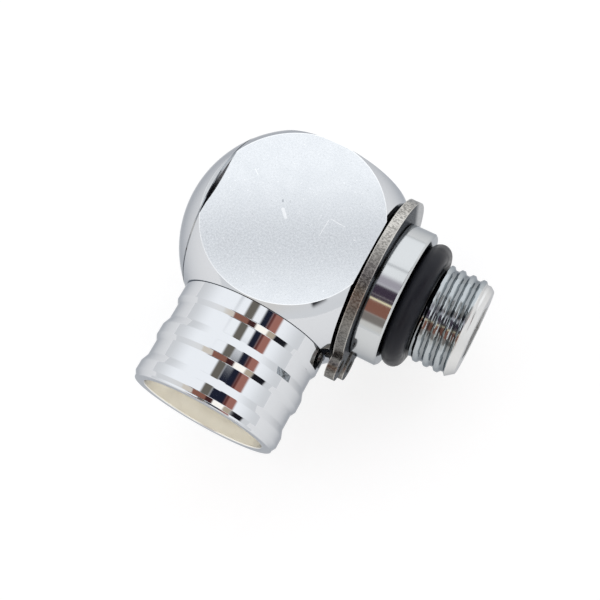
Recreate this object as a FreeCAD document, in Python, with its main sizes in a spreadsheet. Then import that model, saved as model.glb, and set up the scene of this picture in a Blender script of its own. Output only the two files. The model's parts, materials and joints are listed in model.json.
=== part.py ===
"""Swivel hose adapter, 90 degrees.

A ball with milled flats carries a ribbed hose socket on one side. A threaded stud turns in it at right
angles, held by a snap ring inside the ball under a domed end cap.

Frame, in millimetres: the origin is the middle of the socket's mouth. The hose side looks along -Y,
the stud points along +X and the front flat looks along +Z. Turned pieces are drawn from the ball's
centre, which lies on the socket's axis, centre_to_mouth up from the mouth.
"""

import FreeCAD, Part
import os

import Sketcher

os.makedirs("parts", exist_ok=True)
doc = FreeCAD.newDocument("swivel_hose_adapter")
along_x = FreeCAD.Rotation(FreeCAD.Vector(0, 1, 0), 90)
along_y = FreeCAD.Rotation(FreeCAD.Vector(1, 0, 0), -90)

# Driving dimensions, in millimetres and degrees
DIMENSIONS = [
    ("ball_radius", 11.2, "ball before its flats are milled"),
    ("centre_to_mouth", 18.2, "ball centre to the socket's mouth"),
    ("wrench_flat", 7.5, "ball centre to the front and back flats"),
    ("top_flat", 8.15, "ball centre to the flat opposite the socket"),
    ("stud_flat", 7.65, "ball centre to the flat that the stud turns on"),
    ("seam_plane", 7.6, "ball centre to the end cap's seam"),
    ("barrel_seat", 8.4, "ball centre to the face under the socket barrel"),
    ("passage_radius", 2.4, "gas passage from the socket into the throat"),
    ("spindle_radius", 4.0, "part of the stud that turns in the ball"),
    ("running_clearance", 0.04, "radial, spindle in its throat"),
    ("throat_inner_end", 4.9, "ball centre to the floor of the cap chamber"),
    ("hub_step", 2.0, "stud shoulder in the ball's counterbore, wider than the spindle by this"),
    ("hub_clearance", 0.3, "radial, hub in the counterbore"),
    ("counterbore_depth", 1.8, "below the stud flat"),
    ("washer_thickness", 0.4, "both thrust washers"),
    ("washer_bore_clearance", 0.08, "radial, thrust washers on the spindle"),
    ("washer_edge_clearance", 0.25, "radial, outer washer in the counterbore"),
    ("inner_washer_step", 1.0, "inner thrust washer, beyond the spindle"),
    ("end_float", 0.05, "play of the stud along its axis, each side"),
    ("flange_gap", 0.1, "stud flange above the stud flat"),
    ("flange_thickness", 0.25, "wall between the stud flat and the circlip"),
    ("circlip_thickness", 1.0, "external circlip"),
    ("circlip_slack", 0.06, "circlip along its groove"),
    ("circlip_groove_depth", 0.45, "groove in the collar for the circlip"),
    ("circlip_step", 1.7, "circlip's outer edge beyond the collar"),
    ("circlip_offset", 0.35, "circlip's outer edge off its bore, away from the ears"),
    ("circlip_gap", 1.9, "width of the circlip's slot"),
    ("ear_radius", 1.45, "round ears of the circlip"),
    ("ear_overlap", 1.45, "how far the ears run into the ring"),
    ("ear_spread", 17.0, "each ear from the middle of the slot, degrees"),
    ("ear_hole_radius", 0.65, "plier holes"),
    ("ear_turn", 18.0, "circlip's ears below the socket's axis, degrees"),
    ("collar_radius", 6.7, "smooth collar of the stud"),
    ("collar_end", 11.55, "ball centre to the collar's outer face"),
    ("collar_chamfer", 0.6, "outer edge of the collar"),
    ("neck_radius", 4.1, "undercut under the port O-ring"),
    ("port_ring_section", 2.05, "thickness of the port O-ring"),
    ("thread_radius", 4.7625, "major radius of the stud's thread"),
    ("thread_start", 14.0, "ball centre to the first full crest"),
    ("thread_rise", 0.3, "cone from the undercut up to the crests"),
    ("stud_end", 18.4, "ball centre to the end of the stud"),
    ("lead_chamfer", 0.55, "end of the thread"),
    ("stud_bore_radius", 1.9, "gas passage along the stud"),
    ("hex_across_flats", 5.0, "hexagon socket in the stud's end"),
    ("hex_depth", 4.0, "hexagon socket in the stud's end"),
    ("gallery_depth", 0.9, "groove that the cross holes open into"),
    ("gallery_half_width", 1.6, "half the width of that groove"),
    ("cross_hole_radius", 1.1, "four holes from the gallery into the bore"),
    ("seal_section", 1.0, "thickness of the spindle O-rings"),
    ("seal_place", 3.6, "ball centre to the middle of each spindle O-ring"),
    ("seal_groove_width", 1.3, "spindle O-ring grooves"),
    ("snap_ring_thickness", 0.8, "snap ring that holds the stud"),
    ("snap_groove_depth", 0.45, "groove in the spindle for the snap ring"),
    ("snap_ring_step", 0.8, "snap ring beyond the spindle"),
    ("snap_ring_gap", 2.2, "opening of the snap ring"),
    ("snap_ring_slack", 0.05, "snap ring along its groove"),
    ("spindle_tail", 0.6, "spindle past the snap ring's groove"),
    ("plug_step", 2.0, "threaded plug of the end cap and its chamber, beyond the spindle"),
    ("plug_length", 2.2, "end cap below its seam"),
    ("plug_wall", 0.8, "wall of the plug round the end cap's hollow"),
    ("cap_cavity_end", 8.8, "ball centre to the bottom of the cap's hollow"),
    ("cap_crown", 10.9, "ball centre to the small flat on the dome"),
    ("seam_gap", 0.16, "groove under the dome's edge, along the stud's axis"),
    ("seam_depth", 0.3, "same groove, inwards from the ball's surface"),
    ("cap_hex_across_flats", 4.0, "hexagon socket in the dome"),
    ("cap_hex_depth", 1.1, "hexagon socket in the dome"),
    ("cap_seal_section", 0.9, "thickness of the cap's O-ring"),
    ("spigot_radius", 4.3, "barrel's threaded spigot and its bore in the ball"),
    ("spigot_length", 2.3, "barrel's spigot"),
    ("spigot_bottom_gap", 0.2, "below the spigot in its bore"),
    ("barrel_seal_section", 1.0, "thickness of the barrel's O-ring"),
    ("barrel_root_radius", 7.2, "barrel where it meets the ball"),
    ("land_radius", 7.25, "raised lands of the barrel"),
    ("groove_radius", 7.03, "low runs between the raised lands"),
    ("lip_radius", 7.1, "outside of the mouth's lip"),
    ("lip_length", 0.5, "mouth to the fine groove behind the lip"),
    ("lip_round", 0.35, "rounded outer edge of the lip"),
    ("lip_step", 0.12, "each side of the fine groove behind the lip"),
    ("first_land_end", 1.55, "mouth to the end of the first raised land"),
    ("rib_pitch", 3.85, "from one raised land to the next"),
    ("rib_cone", 0.75, "gentle side of a land, towards the ball"),
    ("rib_run", 1.6, "low run between two lands"),
    ("rib_step", 0.38, "steep side of a land, towards the mouth"),
    ("recess_radius", 6.05, "seal recess in the mouth"),
    ("recess_depth", 2.4, "seal recess in the mouth"),
    ("socket_thread_radius", 4.25, "minor radius of the socket's thread"),
    ("socket_thread_end", 8.6, "mouth to the end of the socket's thread"),
    ("socket_cone", 0.9, "drill cone at the end of the socket's thread"),
]

# Sizes and places that follow from them. Places along the stud count from the ball's centre.
FOLLOWING = [
    ("throat_radius", "sizes.spindle_radius + sizes.running_clearance"),
    ("hub_radius", "sizes.spindle_radius + sizes.hub_step"),
    ("counterbore_radius", "layout.hub_radius + sizes.hub_clearance"),
    ("counterbore_floor", "sizes.stud_flat - sizes.counterbore_depth"),
    ("hub_face", "layout.counterbore_floor + sizes.washer_thickness + sizes.end_float"),
    ("flange_start", "sizes.stud_flat + sizes.flange_gap"),
    ("circlip_start", "layout.flange_start + sizes.flange_thickness"),
    ("circlip_groove_radius", "sizes.collar_radius - sizes.circlip_groove_depth"),
    ("circlip_radius", "sizes.collar_radius + sizes.circlip_step"),
    ("circlip_groove_end", "layout.circlip_start + sizes.circlip_thickness + sizes.circlip_slack"),
    ("collar_edge", "sizes.collar_end - sizes.collar_chamfer"),
    ("collar_face_radius", "sizes.collar_radius - sizes.collar_chamfer"),
    ("port_ring_middle", "sizes.collar_end + sizes.port_ring_section / 2"),
    ("port_ring_radius", "sizes.neck_radius + sizes.port_ring_section / 2"),
    ("thread_foot", "sizes.thread_start - sizes.thread_rise"),
    ("thread_edge", "sizes.stud_end - sizes.lead_chamfer"),
    ("thread_end_radius", "sizes.thread_radius - sizes.lead_chamfer"),
    ("washer_hole_radius", "sizes.spindle_radius + sizes.washer_bore_clearance"),
    ("inner_washer_radius", "sizes.spindle_radius + sizes.inner_washer_step"),
    ("outer_washer_radius", "layout.counterbore_radius - sizes.washer_edge_clearance"),
    ("chamber_floor", "-sizes.throat_inner_end"),
    ("inner_washer_start", "layout.chamber_floor - sizes.washer_thickness"),
    ("snap_ring_end", "layout.inner_washer_start - sizes.end_float"),
    ("snap_ring_start", "layout.snap_ring_end - sizes.snap_ring_thickness"),
    ("snap_ring_radius", "sizes.spindle_radius + sizes.snap_ring_step"),
    ("snap_groove_radius", "sizes.spindle_radius - sizes.snap_groove_depth"),
    ("snap_groove_start", "layout.snap_ring_start - sizes.snap_ring_slack"),
    ("spindle_end", "layout.snap_groove_start - sizes.spindle_tail"),
    ("seal_floor_radius", "sizes.spindle_radius - sizes.seal_section"),
    ("seal_middle_radius", "sizes.spindle_radius - sizes.seal_section / 2"),
    ("seal_groove_near", "sizes.seal_place - sizes.seal_groove_width / 2"),
    ("seal_groove_far", "sizes.seal_place + sizes.seal_groove_width / 2"),
    ("inner_seal_place", "-sizes.seal_place"),
    ("inner_seal_groove_near", "-layout.seal_groove_near"),
    ("inner_seal_groove_far", "-layout.seal_groove_far"),
    ("gallery_radius", "sizes.spindle_radius - sizes.gallery_depth"),
    ("gallery_start", "-sizes.gallery_half_width"),
    ("plug_radius", "sizes.spindle_radius + sizes.plug_step"),
    ("cap_cavity_radius", "layout.plug_radius - sizes.plug_wall"),
    ("plug_end", "sizes.plug_length - sizes.seam_plane"),
    ("dome_start", "sizes.seam_gap + sizes.seam_plane"),
    (
        "shoulder_radius",
        "sqrt(sizes.ball_radius ^ 2 - sizes.seam_plane ^ 2) - sizes.seam_depth",
    ),
    ("cap_seal_hole_radius", "layout.plug_radius + sizes.cap_seal_section"),
    ("cap_seal_middle_radius", "layout.plug_radius + sizes.cap_seal_section / 2"),
    ("cap_seal_middle", "sizes.cap_seal_section / 2 - sizes.seam_plane"),
    ("barrel_length", "sizes.centre_to_mouth - sizes.barrel_seat"),
    ("lip_edge", "sizes.lip_length - sizes.lip_step"),
    ("first_land_start", "sizes.lip_length + sizes.lip_step"),
    ("spigot_end", "layout.barrel_length + sizes.spigot_length"),
    ("barrel_seal_hole_radius", "sizes.spigot_radius + sizes.barrel_seal_section"),
    ("barrel_seal_middle_radius", "sizes.spigot_radius + sizes.barrel_seal_section / 2"),
    ("barrel_seal_middle", "layout.barrel_length + sizes.barrel_seal_section / 2"),
    ("socket_cone_end", "sizes.socket_thread_end + sizes.socket_cone"),
    ("ear_reach", "layout.circlip_radius + sizes.ear_radius - sizes.ear_overlap"),
    ("ear_along", "-layout.ear_reach * cos(sizes.ear_spread * 1deg)"),
    ("ear_aside", "layout.ear_reach * sin(sizes.ear_spread * 1deg)"),
]

RIBS = 2


def fill_sheet():
    """Put the driving dimensions into the spreadsheet, each with its alias."""
    sheet = doc.addObject("Spreadsheet::Sheet", "sizes")
    for row, (alias, number, note) in enumerate(DIMENSIONS, 1):
        sheet.set(f"A{row}", alias)
        sheet.set(f"B{row}", str(number))
        sheet.set(f"C{row}", note)
        sheet.setAlias(f"B{row}", alias)
    doc.recompute()
    return sheet


def fill_layout():
    """Work out the following sizes, each a property bound to the sheet."""
    layout = doc.addObject("App::VarSet", "layout")
    for name, rule in FOLLOWING:
        layout.addProperty("App::PropertyFloat", name, "Layout")
        layout.setExpression(name, rule)
    for rib in range(RIBS):
        land_end = f"sizes.first_land_end + {rib} * sizes.rib_pitch"
        for name, rule in [
            (f"rib_{rib}_land_end", land_end),
            (f"rib_{rib}_cone_end", f"{land_end} + sizes.rib_cone"),
            (f"rib_{rib}_run_end", f"{land_end} + sizes.rib_cone + sizes.rib_run"),
            (f"rib_{rib}_step_end", f"{land_end} + sizes.rib_cone + sizes.rib_run + sizes.rib_step"),
        ]:
            layout.addProperty("App::PropertyFloat", name, "Ribs")
            layout.setExpression(name, rule)
    doc.recompute()
    return layout


sheet = fill_sheet()
layout = fill_layout()
SHEET_NAMES = {alias for alias, _, _ in DIMENSIONS}


def full(name):
    """A size's name as an expression writes it."""
    return f"sizes.{name}" if name in SHEET_NAMES else f"layout.{name}"


def size(name):
    """A size's present value."""
    return float(sheet.get(name)) if name in SHEET_NAMES else float(getattr(layout, name))


def plane_of(body, role):
    """One of a body's own origin planes or axes."""
    return next(item for item in body.Origin.OriginFeatures if item.Role == role)


def new_body(label):
    body = doc.addObject("PartDesign::Body", label)
    body.Label = label
    return body


def new_sketch(body, name, role, height=None):
    """A sketch on one of the body's origin planes, or at a named height above it."""
    sketch = body.newObject("Sketcher::SketchObject", name)
    sketch.AttachmentSupport = (plane_of(body, role), [""])
    sketch.MapMode = "FlatFace"
    if height:
        sketch.setExpression("AttachmentOffset.Base.z", full(height))
    return sketch


def hold(sketch, kind, corner, name):
    """Fix one coordinate of a corner to a named size, or to zero where the name is None."""
    number = size(name) if name else 0.0
    index = sketch.addConstraint(Sketcher.Constraint(kind, -1, 1, *corner, number))
    if name:
        sketch.setExpression(f"Constraints[{index}]", full(name))


def turned(body, corners, axis="H_Axis"):
    """Revolve an outline of (place along the axis, radius) names about the sketch's axis."""
    sketch = new_sketch(body, body.Label + "_outline", "XY_Plane")
    along, across = ("DistanceX", "DistanceY") if axis == "H_Axis" else ("DistanceY", "DistanceX")
    points = []
    for place, radius in corners:
        at = (size(place) if place else 0.0, size(radius))
        points.append(FreeCAD.Vector(*(at if axis == "H_Axis" else at[::-1]), 0))
    count = len(points)
    for i in range(count):
        sketch.addGeometry(Part.LineSegment(points[i], points[(i + 1) % count]), False)
    for i in range(count):
        sketch.addConstraint(Sketcher.Constraint("Coincident", i, 2, (i + 1) % count, 1))
    for i, (place, radius) in enumerate(corners):
        hold(sketch, along, (i, 1), place)
        hold(sketch, across, (i, 1), radius)
    turn = body.newObject("PartDesign::Revolution", body.Label + "_turned")
    turn.Profile = sketch
    turn.ReferenceAxis = (sketch, [axis])
    turn.Angle = 360
    doc.recompute()
    return turn


def circle_in(sketch, radius, across=None, up=None):
    """A circle whose radius and centre are named sizes."""
    centre = FreeCAD.Vector(size(across) if across else 0.0, size(up) if up else 0.0, 0)
    index = sketch.addGeometry(Part.Circle(centre, FreeCAD.Vector(0, 0, 1), size(radius)), False)
    hold(sketch, "DistanceX", (index, 3), across)
    hold(sketch, "DistanceY", (index, 3), up)
    bound = sketch.addConstraint(Sketcher.Constraint("Radius", index, size(radius)))
    sketch.setExpression(f"Constraints[{bound}]", full(radius))


def hexagon_in(sketch, across_flats):
    """A hexagon about the sketch's origin, on a helper circle through its corners."""
    reach = size(across_flats) / 3**0.5
    corners = [
        FreeCAD.Vector(reach, 0, 0),
        FreeCAD.Vector(reach / 2, size(across_flats) / 2, 0),
        FreeCAD.Vector(-reach / 2, size(across_flats) / 2, 0),
        FreeCAD.Vector(-reach, 0, 0),
        FreeCAD.Vector(-reach / 2, -size(across_flats) / 2, 0),
        FreeCAD.Vector(reach / 2, -size(across_flats) / 2, 0),
    ]
    for i in range(6):
        sketch.addGeometry(Part.LineSegment(corners[i], corners[(i + 1) % 6]), False)
    helper = sketch.addGeometry(Part.Circle(FreeCAD.Vector(), FreeCAD.Vector(0, 0, 1), reach), True)
    for i in range(6):
        sketch.addConstraint(Sketcher.Constraint("Coincident", i, 2, (i + 1) % 6, 1))
        sketch.addConstraint(Sketcher.Constraint("PointOnObject", i, 1, helper))
    for i in range(5):
        sketch.addConstraint(Sketcher.Constraint("Equal", i, i + 1))
    sketch.addConstraint(Sketcher.Constraint("Coincident", helper, 3, -1, 1))
    sketch.addConstraint(Sketcher.Constraint("PointOnObject", 0, 1, -1))
    bound = sketch.addConstraint(Sketcher.Constraint("Radius", helper, reach))
    sketch.setExpression(f"Constraints[{bound}]", f"{full(across_flats)} / sqrt(3)")


def feature(body, kind, name, sketch, length, **settings):
    """A pad or pocket of a named length, checked to change the solid's volume."""
    before = body.Shape.Volume if body.Tip else 0.0
    item = body.newObject(f"PartDesign::{kind}", name)
    item.Profile = sketch
    item.setExpression("Length", length)
    for key, setting in settings.items():
        setattr(item, key, setting)
    doc.recompute()
    if abs(item.Shape.Volume - before) < 1e-6:
        raise ValueError(f"{name} changes nothing")
    return item


def at_centre(body):
    """Move a piece drawn from the ball's centre to its place in the part."""
    body.setExpression("Placement.Base.y", full("centre_to_mouth"))


def rod(name, radius, start, end, turn=along_x):
    """A cylinder about the stud's axis, or about the socket's axis for along_y."""
    item = doc.addObject("Part::Cylinder", name)
    item.Placement = FreeCAD.Placement(FreeCAD.Vector(), turn)
    item.setExpression("Radius", radius)
    item.setExpression("Height", f"{end} - ({start})")
    if turn is along_x:
        item.setExpression("Placement.Base.x", start)
        item.setExpression("Placement.Base.y", "sizes.centre_to_mouth")
    else:
        item.setExpression("Placement.Base.y", start)
    return item


def block(name, low, high):
    """A box from its low corner to its high one, each three expressions."""
    item = doc.addObject("Part::Box", name)
    for side, letter, start, end in zip(("Length", "Width", "Height"), "xyz", low, high):
        item.setExpression(side, f"{end} - ({start})")
        item.setExpression(f"Placement.Base.{letter}", start)
    return item


def ball(name):
    item = doc.addObject("Part::Sphere", name)
    item.setExpression("Radius", "sizes.ball_radius")
    item.setExpression("Placement.Base.y", "sizes.centre_to_mouth")
    return item


def combine(kind, name, **parts):
    item = doc.addObject(f"Part::{kind}", name)
    for key, part in parts.items():
        setattr(item, key, part)
    return item


def make_ball_body():
    """Ball with five milled flats, bored through for the stud, the cap and the socket barrel."""
    centre = "sizes.centre_to_mouth"
    blank = combine(
        "Common",
        "flatted_ball",
        Base=ball("ball_blank"),
        Tool=block(
            "flats",
            ("-sizes.seam_plane", f"{centre} - sizes.barrel_seat", "-sizes.wrench_flat"),
            ("sizes.stud_flat", f"{centre} + sizes.top_flat", "sizes.wrench_flat"),
        ),
    )
    seat = "layout.barrel_length"
    bores = [
        rod("throat", "layout.throat_radius", "layout.chamber_floor", "sizes.stud_flat"),
        rod("counterbore", "layout.counterbore_radius", "layout.counterbore_floor", "sizes.stud_flat"),
        rod("chamber", "layout.plug_radius", "-sizes.seam_plane", "layout.chamber_floor"),
        rod(
            "cap_seal_room",
            "layout.cap_seal_hole_radius",
            "-sizes.seam_plane",
            "sizes.cap_seal_section - sizes.seam_plane",
        ),
        rod("passage", "sizes.passage_radius", seat, centre, along_y),
        rod(
            "spigot_bore",
            "sizes.spigot_radius",
            seat,
            "layout.spigot_end + sizes.spigot_bottom_gap",
            along_y,
        ),
        rod(
            "barrel_seal_room",
            "layout.barrel_seal_hole_radius",
            seat,
            f"{seat} + sizes.barrel_seal_section",
            along_y,
        ),
    ]
    tools = combine("MultiFuse", "ball_bores", Shapes=bores)
    return combine("Cut", "ball_body", Base=blank, Tool=tools)


def make_end_cap():
    """Domed cap that completes the ball and screws into the chamber."""
    centre = "sizes.centre_to_mouth"
    reach = "sizes.ball_radius"
    dome = combine(
        "Common",
        "cap_dome",
        Base=ball("cap_ball"),
        Tool=block(
            "cap_slab",
            ("-sizes.cap_crown", f"{centre} - {reach}", f"-{reach}"),
            ("-layout.dome_start", f"{centre} + {reach}", reach),
        ),
    )
    shoulder = rod("cap_shoulder", "layout.shoulder_radius", "-layout.dome_start", "-sizes.seam_plane")
    plug = rod("cap_plug", "layout.plug_radius", "-sizes.seam_plane", "layout.plug_end")
    solid = combine("MultiFuse", "cap_solid", Shapes=[dome, shoulder, plug])
    hollow = rod("cap_hollow", "layout.cap_cavity_radius", "-sizes.cap_cavity_end", "layout.plug_end")
    key = doc.addObject("Part::Prism", "cap_hexagon")
    key.Polygon = 6
    key.Placement = FreeCAD.Placement(FreeCAD.Vector(), along_x)
    key.setExpression("Circumradius", "sizes.cap_hex_across_flats / sqrt(3)")
    key.setExpression("Height", "sizes.cap_hex_depth")
    key.setExpression("Placement.Base.x", "-sizes.cap_crown")
    key.setExpression("Placement.Base.y", centre)
    tools = combine("MultiFuse", "cap_cuts", Shapes=[hollow, key])
    return combine("Cut", "end_cap", Base=solid, Tool=tools)


def make_socket_barrel():
    """Ribbed barrel, turned in one with its spigot, with the threaded socket and its seal recess."""
    body = new_body("socket_barrel")
    corners = [
        (None, "recess_radius"),
        (None, "lip_radius"),
        ("lip_edge", "lip_radius"),
        ("lip_length", "groove_radius"),
        ("first_land_start", "land_radius"),
    ]
    for rib in range(RIBS):
        corners += [
            (f"rib_{rib}_land_end", "land_radius"),
            (f"rib_{rib}_cone_end", "groove_radius"),
            (f"rib_{rib}_run_end", "groove_radius"),
            (f"rib_{rib}_step_end", "land_radius"),
        ]
    corners += [
        ("barrel_length", "barrel_root_radius"),
        ("barrel_length", "spigot_radius"),
        ("spigot_end", "spigot_radius"),
        ("spigot_end", "passage_radius"),
        ("socket_cone_end", "passage_radius"),
        ("socket_thread_end", "socket_thread_radius"),
        ("recess_depth", "socket_thread_radius"),
        ("recess_depth", "recess_radius"),
    ]
    turned(body, corners, "V_Axis")
    round_edge(body, "lip_rounded", "lip_radius", 0.0, "lip_round")
    return body


def round_edge(body, name, radius, height, amount):
    """Round the circular edge of a named radius at a height on the socket's axis."""
    base = body.Tip
    edges = [
        f"Edge{i}"
        for i, edge in enumerate(base.Shape.Edges, 1)
        if isinstance(edge.Curve, Part.Circle)
        and abs(edge.Curve.Radius - size(radius)) < 1e-6
        and abs(edge.Curve.Center.y - height) < 1e-6
    ]
    item = body.newObject("PartDesign::Fillet", name)
    item.Base = (base, edges)
    item.setExpression("Radius", full(amount))
    doc.recompute()


def make_swivel_stud():
    """Threaded stud: collar, O-ring neck, and the spindle with its seal grooves and cross holes."""
    body = new_body("swivel_stud")
    turned(
        body,
        [
            ("spindle_end", "stud_bore_radius"),
            ("spindle_end", "spindle_radius"),
            ("snap_groove_start", "spindle_radius"),
            ("snap_groove_start", "snap_groove_radius"),
            ("snap_ring_end", "snap_groove_radius"),
            ("snap_ring_end", "spindle_radius"),
            ("inner_seal_groove_far", "spindle_radius"),
            ("inner_seal_groove_far", "seal_floor_radius"),
            ("inner_seal_groove_near", "seal_floor_radius"),
            ("inner_seal_groove_near", "spindle_radius"),
            ("gallery_start", "spindle_radius"),
            ("gallery_start", "gallery_radius"),
            ("gallery_half_width", "gallery_radius"),
            ("gallery_half_width", "spindle_radius"),
            ("seal_groove_near", "spindle_radius"),
            ("seal_groove_near", "seal_floor_radius"),
            ("seal_groove_far", "seal_floor_radius"),
            ("seal_groove_far", "spindle_radius"),
            ("hub_face", "spindle_radius"),
            ("hub_face", "hub_radius"),
            ("flange_start", "hub_radius"),
            ("flange_start", "collar_radius"),
            ("circlip_start", "collar_radius"),
            ("circlip_start", "circlip_groove_radius"),
            ("circlip_groove_end", "circlip_groove_radius"),
            ("circlip_groove_end", "collar_radius"),
            ("collar_edge", "collar_radius"),
            ("collar_end", "collar_face_radius"),
            ("collar_end", "neck_radius"),
            ("thread_foot", "neck_radius"),
            ("thread_start", "thread_radius"),
            ("thread_edge", "thread_radius"),
            ("stud_end", "thread_end_radius"),
            ("stud_end", "stud_bore_radius"),
        ],
    )
    key = new_sketch(body, "stud_hexagon", "YZ_Plane", "stud_end")
    hexagon_in(key, "hex_across_flats")
    feature(body, "Pocket", "hexagon_socket", key, full("hex_depth"))
    hole = new_sketch(body, "cross_hole_circle", "XY_Plane")
    circle_in(hole, "cross_hole_radius")
    drilled = feature(body, "Pocket", "cross_hole", hole, full("spindle_radius"))
    ring = body.newObject("PartDesign::PolarPattern", "cross_holes")
    ring.Originals = [drilled]
    ring.Axis = (plane_of(body, "X_Axis"), [""])
    ring.Angle = 360
    ring.Occurrences = 4
    body.Tip = ring
    at_centre(body)
    return body


def make_outer_circlip():
    """External circlip round the collar, wider opposite its ears, with two plier holes."""
    body = new_body("outer_circlip")
    blank = new_sketch(body, "circlip_outline", "YZ_Plane", "circlip_start")
    circle_in(blank, "circlip_radius", "circlip_offset")
    feature(body, "Pad", "circlip_disc", blank, full("circlip_thickness"))
    for side, turn in (("upper", 1), ("lower", -1)):
        ear = new_sketch(body, f"{side}_ear_circle", "YZ_Plane", "circlip_start")
        ear_circle(ear, "ear_radius", turn)
        feature(body, "Pad", f"{side}_ear", ear, full("circlip_thickness"))
    bore = new_sketch(body, "circlip_bore_circle", "YZ_Plane", "circlip_start")
    circle_in(bore, "circlip_groove_radius")
    feature(body, "Pocket", "circlip_bore", bore, full("circlip_thickness"), Reversed=True)
    for side, turn in (("upper", 1), ("lower", -1)):
        hole = new_sketch(body, f"{side}_hole_circle", "YZ_Plane", "circlip_start")
        ear_circle(hole, "ear_hole_radius", turn)
        feature(body, "Pocket", f"{side}_plier_hole", hole, full("circlip_thickness"), Reversed=True)
    slot_in(body, "circlip_slot", "circlip_start", "circlip_gap", "circlip_thickness")
    at_centre(body)
    body.Placement.Rotation = FreeCAD.Rotation(FreeCAD.Vector(1, 0, 0), size("ear_turn"))
    body.setExpression("Placement.Rotation.Angle", "sizes.ear_turn * 1deg")
    return body


def ear_circle(sketch, radius, turn):
    """A circle on one ear of the circlip: turn is 1 above the slot and -1 below it."""
    centre = FreeCAD.Vector(size("ear_along"), turn * size("ear_aside"), 0)
    index = sketch.addGeometry(Part.Circle(centre, FreeCAD.Vector(0, 0, 1), size(radius)), False)
    hold(sketch, "DistanceX", (index, 3), "ear_along")
    up = sketch.addConstraint(Sketcher.Constraint("DistanceY", -1, 1, index, 3, centre.y))
    sketch.setExpression(f"Constraints[{up}]", f"{turn} * layout.ear_aside")
    bound = sketch.addConstraint(Sketcher.Constraint("Radius", index, size(radius)))
    sketch.setExpression(f"Constraints[{bound}]", full(radius))


def slot_in(body, name, height, width, thickness):
    """Cut a ring open on its -Y side, from its middle out past the circlip's ears."""
    sketch = new_sketch(body, name + "_outline", "YZ_Plane", height)
    half = size(width) / 2
    far = -2 * size("ear_reach")
    corners = [(0.0, -half), (0.0, half), (far, half), (far, -half)]
    for i in range(4):
        ends = (FreeCAD.Vector(*corners[i], 0), FreeCAD.Vector(*corners[(i + 1) % 4], 0))
        sketch.addGeometry(Part.LineSegment(*ends), False)
    for i in range(4):
        sketch.addConstraint(Sketcher.Constraint("Coincident", i, 2, (i + 1) % 4, 1))
    for i, (along, up) in enumerate(corners):
        place = sketch.addConstraint(Sketcher.Constraint("DistanceX", -1, 1, i, 1, along))
        if along:
            sketch.setExpression(f"Constraints[{place}]", "-2 * layout.ear_reach")
        side = sketch.addConstraint(Sketcher.Constraint("DistanceY", -1, 1, i, 1, up))
        sign = "-" if up < 0 else ""
        sketch.setExpression(f"Constraints[{side}]", f"{sign}{full(width)} / 2")
    feature(body, "Pocket", name, sketch, full(thickness), Reversed=True)


def make_snap_ring():
    """Plain split ring in the spindle's end groove, which holds the stud in the ball."""
    body = new_body("inner_snap_ring")
    blank = new_sketch(body, "snap_ring_outline", "YZ_Plane", "snap_ring_start")
    circle_in(blank, "snap_ring_radius")
    circle_in(blank, "snap_groove_radius")
    feature(body, "Pad", "snap_ring_disc", blank, full("snap_ring_thickness"))
    slot_in(body, "snap_ring_opening", "snap_ring_start", "snap_ring_gap", "snap_ring_thickness")
    at_centre(body)
    return body


def make_washer(label, start, thickness, radius):
    """PTFE thrust washer on the spindle."""
    body = new_body(label)
    sketch = new_sketch(body, label + "_outline", "YZ_Plane", start)
    circle_in(sketch, radius)
    circle_in(sketch, "washer_hole_radius")
    feature(body, "Pad", label + "_disc", sketch, full(thickness))
    at_centre(body)
    return body


def make_o_ring(label, middle_radius, section, place, turn=along_x):
    """O-ring about the stud's axis, or about the socket's axis for along_y."""
    item = doc.addObject("Part::Torus", label)
    item.Placement = FreeCAD.Placement(FreeCAD.Vector(), turn)
    item.setExpression("Radius1", full(middle_radius))
    item.setExpression("Radius2", f"{full(section)} / 2")
    if turn is along_x:
        item.setExpression("Placement.Base.x", full(place))
        item.setExpression("Placement.Base.y", "sizes.centre_to_mouth")
    else:
        item.setExpression("Placement.Base.y", full(place))
    return item


pieces = [
    make_ball_body(),
    make_end_cap(),
    make_o_ring("cap_o_ring", "cap_seal_middle_radius", "cap_seal_section", "cap_seal_middle"),
    make_socket_barrel(),
    make_o_ring(
        "barrel_o_ring",
        "barrel_seal_middle_radius",
        "barrel_seal_section",
        "barrel_seal_middle",
        along_y,
    ),
    make_washer("outer_thrust_washer", "counterbore_floor", "washer_thickness", "outer_washer_radius"),
    make_swivel_stud(),
    make_outer_circlip(),
    make_o_ring("port_o_ring", "port_ring_radius", "port_ring_section", "port_ring_middle"),
    make_o_ring("outer_spindle_o_ring", "seal_middle_radius", "seal_section", "seal_place"),
    make_o_ring("inner_spindle_o_ring", "seal_middle_radius", "seal_section", "inner_seal_place"),
    make_washer("inner_thrust_washer", "inner_washer_start", "washer_thickness", "inner_washer_radius"),
    make_snap_ring(),
]
doc.recompute()

for item in doc.Objects:
    if "Invalid" in item.State or "Error" in item.State:
        raise ValueError(f"{item.Label} failed: {item.State}")
for piece in pieces:
    if piece.Shape.isNull() or not piece.Shape.isValid():
        raise ValueError(f"{piece.Label} has no valid shape")
    if len(piece.Shape.Solids) != 1:
        raise ValueError(f"{piece.Label} has {len(piece.Shape.Solids)} solids")
for piece in pieces:
    piece.Shape.exportStep(f"parts/{piece.Label}.step")
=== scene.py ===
"""Looks of the swivel hose adapter: chromed ball and ribbed socket, threaded stud, circlip and O-ring.

Metres, in the part's own frame: the socket's mouth is at the origin and looks along -Y, the stud
points along +X, the front flat looks along +Z. Outlines of turned pieces are written in millimetres,
as places along their axis, and the stud's places count from the ball's centre.
"""

import json
import math

import bmesh
import bpy
from mathutils import Matrix, Vector


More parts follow.
